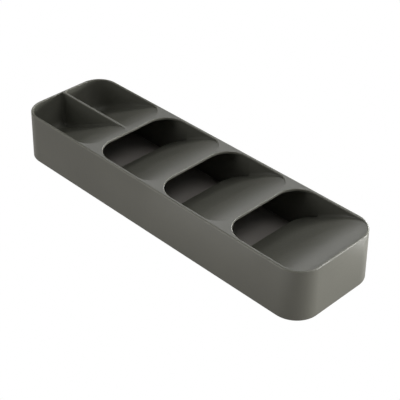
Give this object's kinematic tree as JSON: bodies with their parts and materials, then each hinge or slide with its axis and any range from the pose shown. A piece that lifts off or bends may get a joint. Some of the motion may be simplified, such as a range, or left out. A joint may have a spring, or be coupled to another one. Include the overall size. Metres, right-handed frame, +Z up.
{
  "type": "tiered drawer organiser tray",
  "caption": "Long moulded drawer tray with a divided closed well and sloped open-ended wells that let utensil handles lie under one another.",
  "frame": {"origin": "centre of the footprint, on the surface the feet stand on", "axes": "+X along the length, from the divided well towards the last ramp; +Y across the width; +Z up"},
  "size_m": [0.395, 0.112, 0.056],
  "materials": {
    "tray_plastic": "fine satin texture, dark warm grey",
    "floor_plastic": "fine satin texture, mid warm grey; lighter than the tray by inference, see report",
    "foot_rubber": "matt"
  },
  "bodies": {
    "root": {"tray_shell": "tray_plastic", "floor_panel": "floor_plastic", "foot_divided_end_front": "foot_rubber", "foot_divided_end_back": "foot_rubber", "foot_ramp_end_front": "foot_rubber", "foot_ramp_end_back": "foot_rubber"}
  },
  "joints": []
}
